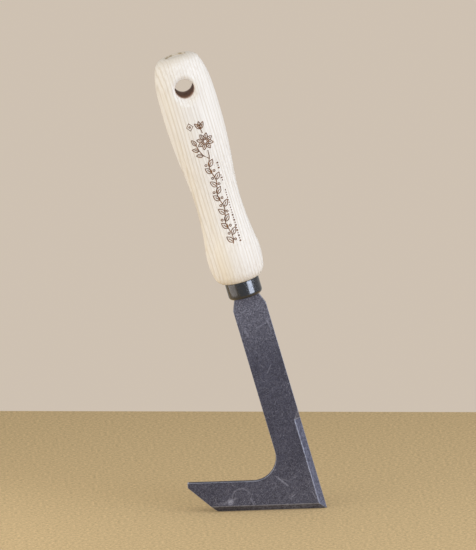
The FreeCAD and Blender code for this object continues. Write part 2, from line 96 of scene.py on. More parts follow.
# Handle, in millimetres.
SHOULDER_STATION = FERRULE_STATION + FERRULE_LENGTH
SHOULDER_RADIUS, SHOULDER_ROUND = 10.5, 7.5
BULGE_HEIGHT, BULGE_RADIUS, BULGE_ROUND = 15.0, 16.1, 43.0
WAIST_HEIGHT, WAIST_RADIUS = 48.0, 13.4
BELLY_HEIGHT, BELLY_RADIUS = 104.5, 16.95
CROWN_ROUND = 52.0
END_ROUND, END_FLAT_RADIUS = 7.0, 6.9
HANDLE_LENGTH = 138.5
TENON_LENGTH, TENON_CHAMFER = 8.0, 1.0
RECESS_RADIUS, RECESS_DEPTH = 5.9, 0.8
RECESS_ROUND = 0.35
HOLE_HEIGHT = HANDLE_LENGTH - 18.4
HOLE_RADIUS = 5.65
HOLE_HALF_LENGTH = 13.5
HOLE_FLARE = math.radians(50)

HEEL = Vector((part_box("blade")[1].x, 0, 0))
ACROSS = Vector((math.cos(LEAN), 0, math.sin(LEAN)))
TOOL_ORIGIN = HEEL - ACROSS * (HALF_WIDTH * MM)
TO_ROW = Matrix.Translation(TOOL_ORIGIN) @ Matrix.Rotation(-LEAN, 4, "Y") @ Matrix.Scale(MM, 4)


# Shapes in the plane.


def polar(centre, radius, angle):
    """The point at a distance and an angle from centre."""
    return centre[0] + radius * math.cos(angle), centre[1] + radius * math.sin(angle)


def angle_from(centre, point):
    """The direction from centre to point."""
    return math.atan2(point[1] - centre[1], point[0] - centre[0])


def crossing(first, first_radius, second, second_radius):
    """Where two circles cross, on the right as seen from first to second."""
    gap = math.dist(first, second)
    cosine = (first_radius**2 + gap**2 - second_radius**2) / (2 * first_radius * gap)
    return polar(first, first_radius, angle_from(first, second) - math.acos(cosine))


def arc_points(centre, radius, first, last, step):
    """Points along an arc, both ends included, about step apart."""
    count = max(2, math.ceil(abs(last - first) * radius / step))
    return [polar(centre, radius, first + (last - first) * n / count) for n in range(count + 1)]


def rounded_outline(corners, step):
    """A closed outline through corners, each given as (point, radius), with an arc at each rounded corner."""
    outline = []
    for n, (point, radius) in enumerate(corners):
        if not radius:
            outline.append(point)
            continue
        corner = Vector(point)
        before = (Vector(corners[n - 1][0]) - corner).normalized()
        after = (Vector(corners[(n + 1) % len(corners)][0]) - corner).normalized()
        half = before.angle(after) / 2
        centre = corner + (before + after).normalized() * (radius / math.sin(half))
        start = corner + before * (radius / math.tan(half))
        end = corner + after * (radius / math.tan(half))
        first = angle_from(centre, start)
        turn = math.remainder(angle_from(centre, end) - first, 2 * math.pi)
        outline += arc_points(centre, radius, first, first + turn, step)
    return outline


# Pieces.


SHARP_ANGLE = math.radians(38)  # edges that turn more than this are shaded sharp


def linked(name, data):
    """A new scene object that shows data."""
    thing = bpy.data.objects.new(name, data)
    bpy.context.scene.collection.objects.link(thing)
    return thing


def add_piece(name, mesh, material, node):
    """Puts a finished mesh, given in tool millimetres, into the scene as a piece that rides on the tool."""
    mesh.transform(TO_ROW)
    mesh.materials.append(material)
    mesh.shade_smooth()
    mesh.set_sharp_from_angle(angle=SHARP_ANGLE)
    piece = linked(name, mesh)
    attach(piece, "root")
    if node:
        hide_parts(node)
    return piece


def mesh_of(name, shape):
    """A mesh from a bmesh, which it frees, with its faces turned outwards."""
    bmesh.ops.recalc_face_normals(shape, faces=shape.faces)
    mesh = bpy.data.meshes.new(name)
    shape.to_mesh(mesh)
    shape.free()
    return mesh


def mesh_from(name, points, faces):
    """A mesh from points and faces."""
    shape = bmesh.new()
    corners = [shape.verts.new(point) for point in points]
    for face in faces:
        shape.faces.new([corners[n] for n in face])
    return mesh_of(name, shape)


# Handle.

HANDLE_COLUMNS = 144
FRONT_COLUMN = HANDLE_COLUMNS * 3 // 4
BACK_COLUMN = HANDLE_COLUMNS // 4
MOUTH_COLUMNS = 20  # columns each side of the hanging hole's axis that its patch takes in
MOUTH_REACH = 12.2  # height each side of the hanging hole's axis that its patch takes in
MOUTH_ROUND = 0.7  # how far the rounding of the hole's rim reaches
MOUTH_BLEND = 1.3  # how softly the dished mouth runs into the handle's outside
MOUTH_STEPS = 12
DISH_RADIUS = 10.3
WALL_STEPS = 12
TURNING_STEP = 1.1
SANDED_SHARE = 0.0035  # the most that sanding takes off the handle's radius, as a share of it


def touching_sum(outer_height, outer_radius):
    """The sum of the profile radii of the waist and of an outward curve that touches it."""
    rise = WAIST_HEIGHT - outer_height
    step = outer_radius - WAIST_RADIUS
    return (rise**2 + step**2) / (2 * step)


def handle_arcs():
    """The arcs of the handle's outside, upwards, as (centre, radius, first angle, last angle)."""
    waist_round = touching_sum(BULGE_HEIGHT, BULGE_RADIUS) - BULGE_ROUND
    belly_round = touching_sum(BELLY_HEIGHT, BELLY_RADIUS) - waist_round
    bulge = (BULGE_RADIUS - BULGE_ROUND, BULGE_HEIGHT)
    waist = (WAIST_RADIUS + waist_round, WAIST_HEIGHT)
    belly = (BELLY_RADIUS - belly_round, BELLY_HEIGHT)
    edge = (SHOULDER_RADIUS, 0.0)
    shoulder = crossing(edge, SHOULDER_ROUND, bulge, BULGE_ROUND - SHOULDER_ROUND)
    end = (END_FLAT_RADIUS, HANDLE_LENGTH - END_ROUND)
    crown = crossing(belly, belly_round - CROWN_ROUND, end, CROWN_ROUND - END_ROUND)
    up_bulge = angle_from(bulge, shoulder)
    up_waist = angle_from(bulge, waist)
    up_belly = angle_from(belly, waist)
    up_crown = angle_from(belly, crown)
    up_end = angle_from(crown, end)
    return [
        (shoulder, SHOULDER_ROUND, angle_from(shoulder, edge), up_bulge),
        (bulge, BULGE_ROUND, up_bulge, up_waist),
        (waist, waist_round, up_waist + math.pi, up_belly + math.pi),
        (belly, belly_round, up_belly, up_crown),
        (crown, CROWN_ROUND, up_crown, up_end),
        (end, END_ROUND, up_end, math.pi / 2),
    ]


HANDLE_ARCS = handle_arcs()


def handle_radius(height):
    """The radius of the handle's outside at a height."""
    for centre, radius, first, last in HANDLE_ARCS:
        low, high = sorted((polar(centre, radius, first)[1], polar(centre, radius, last)[1]))
        if low <= height <= high:
            outward = math.cos((first + last) / 2) > 0
            reach = math.sqrt(radius**2 - (height - centre[1]) ** 2)
            return centre[0] + (reach if outward else -reach)
    return SHOULDER_RADIUS


def handle_outside(across, height):
    """How far the handle's outside stands from its middle plane, at a distance across and a height."""
    return math.sqrt(max(handle_radius(height) ** 2 - across**2, 0.0))


def handle_rows():
    """The turned profile as (radius, height), from the middle of the tenon's end to that of the recess."""
    tenon = FERRULE_RADIUS - FERRULE_WALL
    rows = [(0.0, -TENON_LENGTH), (tenon - TENON_CHAMFER, -TENON_LENGTH)]
    rows += [(tenon, TENON_CHAMFER - TENON_LENGTH), (tenon, -0.3), (tenon, 0.0), (SHOULDER_RADIUS - 0.2, 0.0)]
    for centre, radius, first, last in HANDLE_ARCS:
        rows += arc_points(centre, radius, first, last, min(TURNING_STEP, radius / 6))[1:]
    edge, corner = RECESS_RADIUS + RECESS_ROUND, RECESS_RADIUS - RECESS_ROUND
    top, floor = HANDLE_LENGTH, HANDLE_LENGTH - RECESS_DEPTH
    step = RECESS_ROUND / 3
    rows.append((edge, top))
    rows += arc_points((edge, top - RECESS_ROUND), RECESS_ROUND, math.pi / 2, math.pi, step)[1:]
    rows += arc_points((corner, floor + RECESS_ROUND), RECESS_ROUND, 0.0, -math.pi / 2, step)
    return rows + [(RECESS_RADIUS * share, floor) for share in (0.6, 0.3, 0.0)]


def mouth_profile():
    """The hole's mouth as (radius, distance from the middle plane): a rounded rim, then the flare."""
    along = (math.sin(HOLE_FLARE), math.cos(HOLE_FLARE))
    rim = Vector((HOLE_RADIUS, HOLE_HALF_LENGTH))
    inner = rim - Vector((0.0, MOUTH_ROUND))
    outer = rim + Vector(along) * MOUTH_ROUND
    points = []
    for n in range(6):
        share = n / 5
        points.append(inner.lerp(rim, share).lerp(rim.lerp(outer, share), share))
    for n in range(1, MOUTH_STEPS + 1):
        radius = outer.x + (DISH_RADIUS - outer.x) * n / MOUTH_STEPS
        points.append(Vector((radius, HOLE_HALF_LENGTH + (radius - HOLE_RADIUS) / math.tan(HOLE_FLARE))))
    return points


def soft_lower(first, second, reach):
    """The lower of two values, blended where they come within reach of each other."""
    share = min(max(0.5 + (second - first) / (2 * reach), 0.0), 1.0)
    return second + (first - second) * share - reach * share * (1 - share)


def patch_edge(low, high):
    """The edge of the hole's square patch between two rows, as (row, column offset), once round."""
    width = MOUTH_COLUMNS
    edge = [(low, offset) for offset in range(-width, width)]
    edge += [(row, width) for row in range(low, high)]
    edge += [(high, offset) for offset in range(width, -width, -1)]
    return edge + [(row, -width) for row in range(high, low, -1)]


def hand_finish(point):
    """Takes a few hundredths of a millimetre off, unevenly, as sanding by hand does."""
    x, y, station = point
    bite = 0.6 + 0.4 * noise.noise(Vector((x * 0.07, y * 0.07, station * 0.045)))
    shrink = 1 - SANDED_SHARE * min(max(bite, 0.15), 1.0)
    return x * shrink, y * shrink, station


def number_at(row, column):
    """The number of the turned surface's point in that row and column."""
    return row * HANDLE_COLUMNS + column % HANDLE_COLUMNS


def turned_points(rows):
    """The turned surface's points, row by row."""
    points = []
    for radius, height in rows:
        for column in range(HANDLE_COLUMNS):
            x, y = polar((0.0, 0.0), radius, 2 * math.pi * column / HANDLE_COLUMNS)
            points.append((x, y, SHOULDER_STATION + height))
    return points


def passes_a_mouth(column):
    """Whether the strip of faces that starts at a column runs through either mouth's patch."""
    offsets = [(column - centre) % HANDLE_COLUMNS for centre in (FRONT_COLUMN, BACK_COLUMN)]
    return any(offset < MOUTH_COLUMNS or offset >= HANDLE_COLUMNS - MOUTH_COLUMNS for offset in offsets)


def turned_faces(rows, low, high):
    """The turned surface's quads, less the two patches between the rows low and high."""
    faces = []
    for row in range(1, len(rows) - 2):
        for column in range(HANDLE_COLUMNS):
            if low <= row < high and passes_a_mouth(column):
                continue
            near, far = number_at(row, column), number_at(row, column + 1)
            faces.append((near, far, number_at(row + 1, column + 1), number_at(row + 1, column)))
    return faces


def end_faces(points, rows):
    """Faces that close the tenon's end and the recess's floor, each round a middle point that it adds."""
    faces = []
    for pole, ring in ((0, 1), (len(rows) - 1, len(rows) - 2)):
        middle = len(points)
        points.append((0.0, 0.0, SHOULDER_STATION + rows[pole][1]))
        for column in range(HANDLE_COLUMNS):
            faces.append((middle, number_at(ring, column), number_at(ring, column + 1)))
    return faces


def mouth_faces(points, edge, side, centre):
    """Quads from a patch's edge in to the hole's rim, and that rim. It adds its own points."""
    ring_below = [number_at(row, centre - side * offset) for row, offset in edge]
    places = [(points[n][0], points[n][2] - SHOULDER_STATION - HOLE_HEIGHT) for n in ring_below]
    faces = []
    for ring in mouth_rings(places):
        ring_now = []
        for across, rise, distance in ring:
            ring_now.append(len(points))
            points.append((across, side * distance, SHOULDER_STATION + HOLE_HEIGHT + rise))
        faces += bridge(ring_below, ring_now)
        ring_below = ring_now
    return faces, ring_below


def build_handle(material):
    """The turned handle: rows of quads, with a patch at each mouth that closes in on the hanging hole."""
    rows = handle_rows()
    beside_hole = [n for n, (_, height) in enumerate(rows) if abs(height - HOLE_HEIGHT) < MOUTH_REACH]
    low, high = min(beside_hole), max(beside_hole)
    points = turned_points(rows)
    faces = turned_faces(rows, low, high) + end_faces(points, rows)
    edge = patch_edge(low, high)
    front_faces, front_rim = mouth_faces(points, edge, -1, FRONT_COLUMN)
    back_faces, back_rim = mouth_faces(points, edge, 1, BACK_COLUMN)
    faces += front_faces + back_faces + hole_wall(points, front_rim, back_rim)
    used = sorted({n for face in faces for n in face})
    place = {n: index for index, n in enumerate(used)}
    kept = [hand_finish(points[n]) for n in used]
    mesh = mesh_from("handle_turned", kept, [tuple(place[n] for n in face) for face in faces])
    return add_piece("handle_turned", mesh, material, "handle")


def bridge(first, second):
    """Quads between two rings of the same length."""
    count = len(first)
    return [(first[n], first[(n + 1) % count], second[(n + 1) % count], second[n]) for n in range(count)]


def mouth_rings(places):
    """Rings from the patch's edge in to the hole's rim, each a list of (across, rise, distance outwards)."""
    angles = [math.atan2(rise, across) for across, rise in places]
    rings = []
    for share in (0.3, 0.6, 0.85):
        ring = []
        for (across, rise), angle in zip(places, angles):
            x = across + (DISH_RADIUS * math.cos(angle) - across) * share
            z = rise + (DISH_RADIUS * math.sin(angle) - rise) * share
            ring.append((x, z, handle_outside(x, HOLE_HEIGHT + z)))
        rings.append(ring)
    for radius, distance in reversed(mouth_profile()):
        ring = []
        for angle in angles:
            x, z = polar((0.0, 0.0), radius, angle)
            outside = handle_outside(x, HOLE_HEIGHT + z)
            ring.append((x, z, soft_lower(outside, distance, MOUTH_BLEND)))
        rings.append(ring)
    return rings


def hole_wall(points, front_rim, back_rim):
    """The hanging hole's straight wall, from the front rim to the back one. It adds its own points."""
    faces = []
    ring_below = front_rim
    for step in range(1, WALL_STEPS):
        ring_now = []
        for near, far in zip(front_rim, back_rim):
            ring_now.append(len(points))
            points.append(tuple(Vector(points[near]).lerp(Vector(points[far]), step / WALL_STEPS)))
        faces += bridge(ring_below, ring_now)
        ring_below = ring_now
    return faces + bridge(ring_below, back_rim)


# Ferrule.

FERRULE_COLUMNS = 128
SLOT_GAP = 0.15
SLOT_SQUARENESS = 9.0  # higher makes the slot's corners sharper
LIP = 0.35  # how far the slot's edge is drawn in
RIM_ROUND = 0.3
FERRULE_MOUTH = 3.0  # how far below the rim the inside has its last ring of points


def slot_point(angle, spread):
    """The point of the tang slot's rounded rectangle in a direction, grown by spread."""
    half_width = NECK_WIDTH / 2 + SLOT_GAP + spread
    half_depth = TANG_THICKNESS / 2 + SLOT_GAP + spread
    x, y = math.cos(angle), math.sin(angle)
    power = SLOT_SQUARENESS
    reach = (abs(x / half_width) ** power + abs(y / half_depth) ** power) ** (-1 / power)
    return x * reach, y * reach


def ferrule_profile():
    """The cup's outside as (radius, station), from just inside its rim, over the rim and down to its base."""
    low, high = FERRULE_STATION, FERRULE_STATION + FERRULE_LENGTH
    inside, outside = FERRULE_RADIUS - FERRULE_WALL, FERRULE_RADIUS
    rim, step = high - RIM_ROUND, RIM_ROUND / 3
    profile = [(inside, high - FERRULE_MOUTH), (inside, rim)]
    profile += arc_points((inside + RIM_ROUND, rim), RIM_ROUND, math.pi, math.pi / 2, step)[1:]
    profile += arc_points((outside - RIM_ROUND, rim), RIM_ROUND, math.pi / 2, 0.0, step)
    for share in (0.15, 0.35, 0.55, 0.8):
        profile.append((outside, rim + (low + FERRULE_ROUND - rim) * share))
    turn = (outside - FERRULE_ROUND, low + FERRULE_ROUND)
    return profile + arc_points(turn, FERRULE_ROUND, 0.0, -math.pi / 2, 0.3)


def ferrule_rings():
    """The cup's rings of points: down its outside, across its base, through the slot and up its inside."""
    low = FERRULE_STATION
    angles = [2 * math.pi * n / FERRULE_COLUMNS for n in range(FERRULE_COLUMNS)]

    def circle(radius, station):
        """A round ring."""
        return [(*polar((0.0, 0.0), radius, angle), station) for angle in angles]

    def slot(spread, station):
        """A ring in the slot's shape."""
        return [(*slot_point(angle, spread), station) for angle in angles]

    rings = [circle(radius, station) for radius, station in ferrule_profile()]
    base, lip = circle(FERRULE_RADIUS - FERRULE_ROUND, low), slot(LIP, low)
    for share in (0.35, 0.7):
        rings.append([Vector(outer).lerp(Vector(inner), share) for outer, inner in zip(base, lip)])
    steps = 4
    for n in range(steps + 1):
        turn = math.pi / 2 * n / steps
        rings.append(slot(LIP * (1 - math.sin(turn)), low + LIP * (1 - math.cos(turn))))
    rings.append(slot(0.0, low + FERRULE_WALL))
    inner = FERRULE_RADIUS - FERRULE_WALL
    rings.append(circle(inner - FERRULE_INNER_ROUND, low + FERRULE_WALL))
    rings.append(circle(inner, low + FERRULE_WALL + FERRULE_INNER_ROUND))
    return rings


def build_ferrule(material):
    """A cup with a rounded rim, a rounded lower edge and a slot, drawn in at its edge, for the tang."""
    points, faces, numbered = [], [], []
    for ring in ferrule_rings():
        numbered.append(list(range(len(points), len(points) + len(ring))))
        points += ring
    for first, second in zip(numbered, numbered[1:] + numbered[:1]):
        faces += bridge(first, second)
    mesh = mesh_from("ferrule_cup", points, faces)
    return add_piece("ferrule_cup", mesh, material, "ferrule")


# Blade.

HARD_ANGLE = math.radians(14)  # edges that turn more than this are softened


def on_blade(along, above):
    """The (x, station) of a point that far along the sole from the heel, and that far above the sole."""
    return polar(polar((HALF_WIDTH, 0.0), along, math.pi - LEAN), above, math.pi / 2 - LEAN)


def blade_outline():
    """The flat outline: along the sole, round the toe, up to the neck and down the heel side."""
    half, neck = HALF_WIDTH, NECK_WIDTH / 2
    toe_rise = (FOOT_LENGTH - SOLE_LENGTH) * math.tan(TOE_SLOPE)
    to_shank = (STOCK_WIDTH + FOOT_HEIGHT * math.sin(LEAN)) / math.cos(LEAN)
    corners = [
        ((half, 0.0), 0.0),
        (on_blade(SOLE_LENGTH, 0), TOE_CORNER_ROUND),
        (on_blade(FOOT_LENGTH, toe_rise), 0.0),
        (on_blade(FOOT_LENGTH, FOOT_HEIGHT), TOE_TIP_ROUND),
        (on_blade(to_shank, FOOT_HEIGHT), THROAT_ROUND),
        ((-half, FLARE_STATION), TOE_SIDE_FLARE_ROUND),
        ((-neck, NECK_STATION), 0.0),
        ((neck, NECK_STATION), 0.0),
        ((half, FLARE_STATION), FLARE_ROUND),
    ]
    return rounded_outline(corners, OUTLINE_STEP)


def prism(shape, outline, front, back):
    """Adds a closed flat shape between two values of Y to a bmesh."""
    count = len(outline)
    near = [shape.verts.new((x, front, z)) for x, z in outline]
    far = [shape.verts.new((x, back, z)) for x, z in outline]
    shape.faces.new(near)
    shape.faces.new(list(reversed(far)))
    for n in range(count):
        shape.faces.new([near[n], far[n], far[(n + 1) % count], near[(n + 1) % count]])


def wedge(shape, sections):
    """Adds a closed run of three-cornered sections to a bmesh."""
    rings = [[shape.verts.new(point) for point in section] for section in sections]
    shape.faces.new(rings[0])
    shape.faces.new(list(reversed(rings[-1])))
    for first, second in zip(rings, rings[1:]):
        for n in range(3):
            shape.faces.new([first[n], first[(n + 1) % 3], second[(n + 1) % 3], second[n]])


def sole_cutter():
    """The stock that grinding takes off along the sole, drawn past the metal on every side."""
    front = -HALF_THICKNESS
    along = Vector((-math.cos(LEAN), 0.0, math.sin(LEAN)))
    up = Vector((math.sin(LEAN), 0.0, math.cos(LEAN)))
    heel = Vector((HALF_WIDTH, 0.0, 0.0))

    def section(distance):
        """The cut's three corners at a distance along the sole from the heel."""
        base = heel + along * distance
        corner = base - up * (SOLE_BEVEL_HEIGHT / 2) + Vector((0.0, front - BEVEL_DEPTH / 2, 0.0))
        return [corner, corner + Vector((0.0, 2 * BEVEL_DEPTH, 0.0)), corner + up * (2 * SOLE_BEVEL_HEIGHT)]

    shape = bmesh.new()
    wedge(shape, [section(-CUT_OVERRUN), section(FOOT_LENGTH + CUT_OVERRUN)])
    return shape


def side_cutter():
    """The stock that grinding takes off up the heel side, sliding out past the edge at its top."""
    front = -HALF_THICKNESS

    def section(station, outward):
        """The cut's three corners at a station, moved outward by that share of the bevel's width."""
        x = HALF_WIDTH + SIDE_BEVEL_WIDTH * (0.5 + outward)
        corner = Vector((x, front - BEVEL_DEPTH / 2, station))
        side = Vector((-2 * SIDE_BEVEL_WIDTH, 0.0, 0.0))
        return [corner, corner + side, corner + Vector((0.0, 2 * BEVEL_DEPTH, 0.0))]

    shape = bmesh.new()
    stations = [(-3.0, 0.0), (SIDE_BEVEL_STATION, 0.0), (SIDE_BEVEL_STATION + RUNOUT_LENGTH, 1.0)]
    wedge(shape, [section(*station) for station in stations])
    return shape


CUTTERS = (("sole_cutter", sole_cutter), ("side_cutter", side_cutter))


def ground_stock():
    """The flat stock with both bevels cut away, as a bmesh."""
    shape = bmesh.new()
    prism(shape, blade_outline(), -HALF_THICKNESS, HALF_THICKNESS)
    stock = linked("stock", mesh_of("stock", shape))
    cutters = [linked(name, mesh_of(name, cutter())) for name, cutter in CUTTERS]
    for cutter in cutters:
        cut = stock.modifiers.new(cutter.name, "BOOLEAN")
        cut.object = cutter
        cut.operation = "DIFFERENCE"
        cut.solver = "EXACT"
    bpy.context.view_layer.update()
    result = bmesh.new()
    result.from_object(stock, bpy.context.evaluated_depsgraph_get())
    for thing in [stock, *cutters]:
        bpy.data.meshes.remove(thing.data)
    return result


def build_blade(material):
    """The ground stock with softened edges, and the start of the tang that enters the ferrule."""
    shape = ground_stock()
    bmesh.ops.remove_doubles(shape, verts=shape.verts, dist=0.001)
    bmesh.ops.dissolve_limit(shape, angle_limit=math.radians(0.5), verts=shape.verts, edges=shape.edges)
    ground = shape.faces.layers.float.new("ground")
    worn = shape.faces.layers.float.new("worn")
    shape.normal_update()
    for face in shape.faces:
        if -0.95 < face.normal.y < -0.2:  # aslant to the front, so part of a bevel
            face[ground] = 1.0 if face.normal.z < -0.2 else SIDE_BEVEL_SHINE
    hard = [edge for edge in shape.edges if edge.is_manifold and edge.calc_face_angle() > HARD_ANGLE]
    softened = bmesh.ops.bevel(
        shape, geom=hard, offset=ARRIS, segments=3, profile=0.5, affect="EDGES", clamp_overlap=True
    )
    for face in softened["faces"]:
        face[worn] = BORDER_WEAR if face.normal.y < -0.75 else 1.0
    wide, start = NECK_WIDTH / 2, NECK_STATION - 1
    narrow, end = wide - TANG_TAPER, NECK_STATION + TANG_SHOWN
    tang = [(-wide, start), (wide, start), (narrow, end), (-narrow, end)]
    prism(shape, tang, -TANG_THICKNESS / 2, TANG_THICKNESS / 2)
    blade = add_piece("blade_ground", mesh_of("blade_ground", shape), material, "blade")
    blade.modifiers.new("flat_faces_stay_flat", "WEIGHTED_NORMAL").keep_sharp = True
    return blade


# Ornament.

LINE_WIDTH = 0.5
LINE_PROUD = 0.025
LINE_SUNK = 0.06


def on_handle(across, height, proud):
    """A point wrapped round the front of the handle: across is measured along its surface from the middle."""
    radius = handle_radius(height)
    angle = across / radius
    reach = radius + proud
    return reach * math.sin(angle), -reach * math.cos(angle), SHOULDER_STATION + height


def burn_line(shape, path, closed=False, width=LINE_WIDTH):
    """Adds a burned line to a bmesh: a closed, nearly flat bar that follows a path of (across, height)."""
    rings = []
    count = len(path)
    for n, point in enumerate(path):
        before = path[n - 1] if n or closed else point
        after = path[(n + 1) % count] if n < count - 1 or closed else point
        along = (Vector(after) - Vector(before)).normalized()
        side = Vector((-along.y, along.x)) * (width / 2)
        left, right = Vector(point) + side, Vector(point) - side
        ends = [(*left, -LINE_SUNK), (*left, LINE_PROUD), (*right, LINE_PROUD), (*right, -LINE_SUNK)]
        rings.append([shape.verts.new(on_handle(*end)) for end in ends])
    pairs = list(zip(rings, rings[1:]))
    if closed:
        pairs.append((rings[-1], rings[0]))
    else:
        shape.faces.new(rings[0])
        shape.faces.new(list(reversed(rings[-1])))
    for first, second in pairs:
        for n in range(4):
            shape.faces.new([first[n], first[(n + 1) % 4], second[(n + 1) % 4], second[n]])


def ring_path(centre, radius, count=16):
    """A closed round path."""
    return [polar(centre, radius, 2 * math.pi * n / count) for n in range(count)]


def leaf_path(root, heading, length, width, count=9):
    """A closed leaf-shaped path from its root."""
    along = Vector(polar((0.0, 0.0), 1.0, heading))
    side = Vector((-along.y, along.x))
    path = []
    for turn, way in ((range(count), 1), (range(count, 0, -1), -1)):
        for n in turn:
            share = n / count
            swell = math.sin(math.pi * share**0.8) * width / 2
            path.append(tuple(Vector(root) + along * (length * share) + side * (way * swell)))
    return path


def burn_leaf(shape, root, heading, length, width):
    """A leaf outline with its midrib."""
    burn_line(shape, leaf_path(root, heading, length, width), closed=True)
    tip = polar(root, length * 0.66, heading)
    burn_line(shape, [polar(root, length * 0.12, heading), tip])


VINE_START, VINE_END = 24.5, 75.5
VINE_CENTRE, VINE_SWING = 1.6, 0.9
VINE_LEAVES = 12
VINE_STEPS = 72
BERRY_RADIUS = 0.6
FLOWER = (2.8, 87.5)
FLOWER_STALK = 82.0
PETALS = 8
BUD = (FLOWER[0] - 0.6, FLOWER[1] + 8.0)
DIAMOND = (-3.6, 98.0)
DASH_ACROSS, DASH_LENGTH, DASH_SPACING = 6.2, 0.9, 1.55
DASH_NARROW, DASH_BROAD = 0.55, 1.1
DASHES_END = 74.0
DASH_GAPS = ((56.0, 61.0), (65.0, 69.0))


def vine_across(height):
    """Where the vine's stem is at a height."""
    wave = math.sin((height - VINE_START) * math.pi * VINE_LEAVES / 2 / (VINE_END - VINE_START))
    to_flower = min(max((height - VINE_END) / (FLOWER_STALK - VINE_END), 0.0), 1.0)
    return (VINE_CENTRE + VINE_SWING * wave) * (1 - to_flower) + FLOWER[0] * to_flower


def burn_vine(shape):
    """A winding stem with a leaf and a berry on either side by turns."""
    rise = FLOWER_STALK - VINE_START
    stem = [VINE_START + rise * n / VINE_STEPS for n in range(VINE_STEPS + 1)]
    burn_line(shape, [(vine_across(height), height) for height in stem])
    spacing = (VINE_END - VINE_START) / VINE_LEAVES
    for n in range(VINE_LEAVES):
        way = 1 if n % 2 else -1
        height = VINE_START + 1.0 + spacing * n
        root = (vine_across(height), height)
        burn_leaf(shape, root, math.pi / 2 - way * math.radians(40), 4.9, 2.6)
        berry = (vine_across(height) - way * 1.6, height + 1.2)
        burn_line(shape, ring_path(berry, BERRY_RADIUS, 10), closed=True)


def burn_flower(shape):
    """A round flower on the vine, and a bud above it."""
    for n in range(PETALS):
        heading = 2 * math.pi * (n + 0.5) / PETALS
        burn_leaf(shape, polar(FLOWER, 1.5, heading), heading, 3.6, 2.1)
    burn_line(shape, ring_path(FLOWER, 1.1), closed=True)
    burn_line(shape, [(FLOWER[0] - 0.2, FLOWER[1] + 5.2), BUD])
    for heading in (55, 90, 125):
        burn_leaf(shape, BUD, math.radians(heading), 4.6, 1.9)


def burn_branch(shape):
    """A side branch with three leaves."""
    branch = [(vine_across(77.0), 77.0), (-0.6, 79.6), (-2.2, 83.0), (-3.0, 86.4)]
    burn_line(shape, branch)
    for root, heading in zip(branch[1:], (168, 160, 115)):
        burn_leaf(shape, root, math.radians(heading), 4.2, 2.1)


def burn_diamond(shape):
    """A small diamond with a dot in it."""
    diamond = [polar(DIAMOND, 1.9 + 0.4 * (n % 2), math.pi / 2 * n) for n in range(4)]
    burn_line(shape, diamond, closed=True)
    burn_line(shape, ring_path(DIAMOND, 0.5, 8), closed=True)


def burn_dashes(shape):
    """A row of dashes beside the vine, some of them broader, with two gaps."""
    height = VINE_START
    while height < DASHES_END:
        if not any(low < height < high for low, high in DASH_GAPS):
            dash = [(DASH_ACROSS, height), (DASH_ACROSS, height + DASH_LENGTH)]
            burn_line(shape, dash, width=DASH_NARROW if int(height) % 3 else DASH_BROAD)
        height += DASH_SPACING


def build_ornament(material):
    """What is burned into the handle, as one mesh."""
    shape = bmesh.new()
    for burn in (burn_vine, burn_flower, burn_branch, burn_diamond, burn_dashes):
        burn(shape)
    mesh = mesh_of("handle_ornament", shape)
    return add_piece("handle_ornament", mesh, material, "handle")


# Materials.


